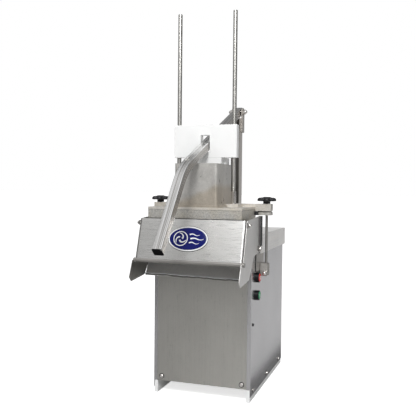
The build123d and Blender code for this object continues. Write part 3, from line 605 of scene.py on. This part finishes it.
def plate_shadow_line(side, radius=0.0013, sides=8):
    """A dark line round a clevis plate, on the side panel: painted shadow in the gap."""
    x = math.copysign(0.1928, side)
    run = [(0.060, 0.476)]
    for corner_y, first in PLATE_CORNERS:
        for k in range(7):
            angle = math.radians(first - 15 * k)
            run.append((corner_y + PLATE_CORNER_R * math.cos(angle),
                        PLATE_CORNER_Z + PLATE_CORNER_R * math.sin(angle)))
    run.append((0.1765, 0.482))
    rings = []
    for k, (y, z) in enumerate(run):
        y0, z0 = run[max(k - 1, 0)]
        y1, z1 = run[min(k + 1, len(run) - 1)]
        length = math.hypot(y1 - y0, z1 - z0)
        ny, nz = -(z1 - z0) / length, (y1 - y0) / length
        ring = []
        for c, s in circle(sides):
            out_by = radius * c
            ring.append((x + radius * s, FRONT + y + ny * out_by, z + nz * out_by))
        rings.append(ring)
    return loft(rings)


# Dark lines round the clevis plates: painted shadow.
piece("clevis_shadow_lines", *joined([plate_shadow_line(1), plate_shadow_line(-1)]), "rubber", "frame", "rubber")


def disc_ring(centre, inner, outer, depth, count=40):
    """A flat ring facing +X."""
    rings = []
    for r, dx in ((inner, 0.0), (inner, depth), (outer, depth), (outer, 0.0)):
        rings.append([(centre.x + dx, centre.y + r * c, centre.z + r * s) for c, s in circle(count)])
    return loft(rings, caps=False)


def box_mesh(low, high):
    x0, y0, z0 = low
    x1, y1, z1 = high
    ring0 = [(x0, y0, z0), (x0, y1, z0), (x0, y1, z1), (x0, y0, z1)]
    ring1 = [(x1, y, z) for _, y, z in ring0]
    return loft([ring0, ring1])


def button_face(node):
    """The middle of a button's face, just below its surface."""
    centre = middle(node)
    return Vector((high_of(node).x - 0.0002, centre.y, centre.z))


stop_face = button_face("stop_button")
start_face = button_face("start_button")
piece("stop_mark", *disc_ring(stop_face, 0.0048, 0.0066, 0.0005), "emblem", "stop", "red_plastic")
mark = box_mesh(start_face - Vector((0, 0.0011, 0.006)), start_face + Vector((0.0005, 0.0011, 0.006)))
piece("start_mark", *mark, "emblem", "start", "green_plastic", smooth=False)


def edge_shade_strip(side):
    """A dark strip down the outer edge of a hood plate's rear fold: painted shade."""
    rings = []
    for z, slim in ((0.5745, 0.0004), (0.5755, 0.0), (0.6870, 0.0), (0.6880, 0.0004)):
        x0, x1 = 0.2026 + slim, 0.2108 - slim
        y0, y1 = 0.0815 + slim, 0.0845 - slim
        corners = ((x0, y0), (x1, y0), (x1, y1), (x0, y1))
        rings.append([(side * x, FRONT + y, z) for x, y in corners])
    return loft(rings)


# Dark strips on the hood plates' rear folds: painted shade.
piece("hood_edge_shades", *joined([edge_shade_strip(1), edge_shade_strip(-1)]), "rubber", "frame", "rubber", smooth=False)


def washer(place, normal, inner, outer, thick, count=36):
    """A thin ring lying against a face, round the given normal."""
    turn_to = normal.to_track_quat("Z", "Y")
    rings = []
    profile = ((inner, 0.0), (inner, thick), (outer * 0.96, thick), (outer, thick * 0.6), (outer, 0.0))
    for r, lift in profile:
        rings.append([place + turn_to @ Vector((r * c, r * s, lift)) for c, s in circle(count)])
    return loft(rings, caps=False)


OUT_FRONT, OUT_SIDE = Vector((0, -1, 0)), Vector((1, 0, 0))
PANEL_FACE, HOOD_FACE = 0.192, 0.202     # |x| of the side panels' and the hood plates' outer faces
washers = [washer(Vector((x, FRONT, 0.066)), OUT_FRONT, 0.0079, 0.0102, 0.0009) for x in (-0.159, 0.159)]
for side in (1, -1):
    for y in (0.044, 0.270, 0.498):
        place = Vector((side * PANEL_FACE, FRONT + y, 0.037))
        washers.append(washer(place, OUT_SIDE * side, 0.0079, 0.0102, 0.0009))
    for y, z in ((-0.104, 0.662), (0.060, 0.567)):
        place = Vector((side * HOOD_FACE, FRONT + y, z))
        washers.append(washer(place, OUT_SIDE * side, 0.0079, 0.0104, 0.0010))
piece("screw_washers", *joined(washers), "rubber", "frame", "rubber")
caps = [washer(Vector((side * PANEL_FACE, FRONT + 0.031, 0.285)), OUT_SIDE * side, 0.0001, 0.0056, 0.0029)
        for side in (1, -1)]
piece("screw_caps", *joined(caps), "bezel", "frame", "black_plastic")


# ---------------------------------------------------------------- studio

def flat_material(name, colour, rough=0.7, emission=0.0):
    shade = Shade(name, colour, rough)
    if emission:
        shade.set("Emission Color", (*colour, 1))
        shade.set("Emission Strength", emission)
    return shade.mat


def card(name, corners, material):
    mesh = bpy.data.meshes.new(name)
    mesh.from_pydata(corners, [], [tuple(range(len(corners)))])
    mesh.materials.append(material)
    thing = bpy.data.objects.new(name, mesh)
    bpy.context.scene.collection.objects.link(thing)
    return thing


def rectangle(x0, y0, x1, y1, z):
    return [(x0, y0, z), (x1, y0, z), (x1, y1, z), (x0, y1, z)]


def seen_by(thing, camera, others):
    thing.visible_camera = camera
    thing.visible_diffuse = others
    thing.visible_glossy = others
    thing.visible_shadow = False


# The white paper that shows, and the greyer studio floor that the steel reflects.
FAR = 60                                 # the floors run this far from the machine
paper = card("floor_paper", rectangle(-FAR, -FAR, FAR, FAR, 0),
             flat_material("floor_paper", (0.9, 0.9, 0.9), 0.9, 0.75))
seen_by(paper, True, False)


def studio_floor(name, near, far, reach, left=1.0, glow=0.0):
    """A matt floor whose grey changes with the distance from the machine's front."""
    shade = Shade(name, (near,) * 3, 0.9)
    split = shade.node("ShaderNodeSeparateXYZ", Vector=shade.position())
    away = shade.math("ABSOLUTE", shade.math("SUBTRACT", split.outputs["Y"], FRONT))
    lane = shade.math("ADD", split.outputs["X"], shade.math("MULTIPLY", away, 0.36))
    shaded = shade.blend(shade.ramp(lane, -0.28, 0.1), (left,) * 3, (1.0, 1.0, 1.0))
    tone = shade.blend(shade.ramp(away, 0.2, reach), (near,) * 3, (far,) * 3)
    tone = shade.blend(1.0, tone, shaded, "MULTIPLY")
    shade.paint(tone)
    shade.tree.links.new(tone, shade.shader.inputs["Emission Color"])
    shade.set("Emission Strength", glow)
    return shade.mat


MID = FRONT + 0.3
front_floor = card("floor_front", rectangle(-FAR, -FAR, FAR, MID, -0.001),
                   studio_floor("floor_front", 0.55, 0.16, 4.5, left=0.68))
back_floor = card("floor_back", rectangle(-FAR, MID, FAR, FAR, -0.001),
                  studio_floor("floor_back", 0.62, 0.76, 3.0, glow=0.12))
seen_by(front_floor, False, True)
seen_by(back_floor, False, True)

# A dark strip on the floor beside the cabinet, seen only in the polished side.
flag = card("floor_flag", rectangle(0.193, FRONT - 0.1, 0.262, FRONT + 1.4, 0.001),
            flat_material("flag", (0.22, 0.22, 0.22), 0.9))
seen_by(flag, False, True)
flag.visible_diffuse = False

world = bpy.data.worlds.new("studio")
bpy.context.scene.world = world
world.use_nodes = True
sky = world.node_tree
sky.nodes.clear()
out = sky.nodes.new("ShaderNodeOutputWorld")


def world_node(kind, operation=None, **inputs):
    node = add_node(sky, kind, inputs)
    if operation:
        node.operation = operation
    return node


def world_times(a, b):
    return world_node("ShaderNodeVectorMath", "MULTIPLY", i0=a, i1=b).outputs[0]


def world_share(axis):
    """How far along an axis the direction points, from 0 to 1."""
    return world_node("ShaderNodeMath", "MULTIPLY_ADD", i0=parts.outputs[axis], i1=0.5, i2=0.5).outputs[0]


def world_ramp(value, stops):
    node = world_node("ShaderNodeValToRGB", Fac=value)
    ramp = node.color_ramp
    while len(ramp.elements) < len(stops):
        ramp.elements.new(0.5)
    for element, (place, level) in zip(ramp.elements, stops):
        element.position = place
        element.color = (level, level, level, 1)
    return node.outputs["Color"]


direction = world_node("ShaderNodeTexCoord").outputs["Generated"]
parts = world_node("ShaderNodeSeparateXYZ", Vector=direction)
across, depth, height = world_share("X"), world_share("Y"), world_share("Z")

# The room before the machine, and the room behind it with its brighter left.
front_levels = [(0.0, 0.3), (0.47, 0.4), (0.52, 0.7), (0.62, 0.85), (0.75, 0.95), (0.86, 1.25), (1.0, 1.4)]
back_levels = [(0.0, 0.5), (0.46, 0.8), (0.52, 0.95), (0.6, 0.75), (0.68, 0.4), (0.8, 0.25), (0.9, 0.4),
               (1.0, 1.0)]
back_sides = world_ramp(across, [(0.44, 1.5), (0.6, 0.7)])
back = world_times(world_ramp(height, back_levels), back_sides)
turn = world_ramp(depth, [(0.4, 0.0), (0.6, 1.0)])
room = mix_colours(sky, turn, world_ramp(height, front_levels), back)

# The flanks are darker near the floor than above.
flank_levels = [(0.0, 0.15), (0.15, 0.25), (0.3, 0.95), (0.74, 1.0), (0.9, 0.3), (1.0, 0.2)]
above = world_ramp(height, [(0.58, 0.0), (0.72, 1.0)])
low_flanks = world_ramp(across, flank_levels)
high_flanks = world_ramp(across, [(0.26, 0.55), (0.42, 1.0)])
flanks = mix_colours(sky, above, low_flanks, high_flanks)
shaped = world_times(room, flanks)
room_light = world_node("ShaderNodeBackground", Color=shaped, Strength=0.75)
backdrop = world_node("ShaderNodeBackground", Color=(1.0, 1.0, 1.0, 1.0), Strength=1.0)
seen = world_node("ShaderNodeLightPath").outputs["Is Camera Ray"]
mix = world_node("ShaderNodeMixShader", Fac=seen, i1=room_light.outputs[0], i2=backdrop.outputs[0])
sky.links.new(mix.outputs[0], out.inputs["Surface"])


def softbox(name, place, target, size, power):
    light = bpy.data.lights.new(name, "AREA")
    light.shape = "RECTANGLE"
    light.size, light.size_y = size
    light.energy = power
    lamp = bpy.data.objects.new(name, light)
    lamp.location = place
    aim = Vector(target) - Vector(place)
    lamp.rotation_euler = aim.to_track_quat("-Z", "Y").to_euler()
    bpy.context.scene.collection.objects.link(lamp)


softbox("key", (0.45, -2.5, 2.6), (0, 0, 0.7), (0.7, 0.7), 62)
softbox("strip", (1.9, -2.6, 1.3), (0, 0, 1.0), (0.4, 2.6), 9)
softbox("fill", (-2.6, -1.4, 2.4), (0, 0, 0.6), (2.4, 2.4), 7)

bpy.context.scene.view_settings.view_transform = "Standard"
bpy.context.scene.view_settings.look = "None"


# ---------------------------------------------------------------- camera

LENS, SENSOR = 53.04, 36.0               # millimetres
CAMERA_AT = Vector((0.7385, FRONT - 2.167, 0.7956))
yaw, pitch, roll = math.radians(18.30), math.radians(1.98), math.radians(0.58)
forward = Vector((-math.sin(yaw) * math.cos(pitch), math.cos(yaw) * math.cos(pitch), -math.sin(pitch)))
right = Vector((math.cos(yaw), math.sin(yaw), 0))
up = right.cross(forward)
right_rolled = right * math.cos(roll) + up * math.sin(roll)
up_rolled = up * math.cos(roll) - right * math.sin(roll)
camera_data = bpy.data.cameras.new("camera")
camera_data.sensor_width = SENSOR
camera_data.lens = LENS
camera = bpy.data.objects.new("camera", camera_data)
bpy.context.scene.collection.objects.link(camera)
place = Matrix((right_rolled, up_rolled, -forward)).transposed().to_4x4()
place.translation = CAMERA_AT
camera.matrix_world = place
bpy.context.scene.camera = camera
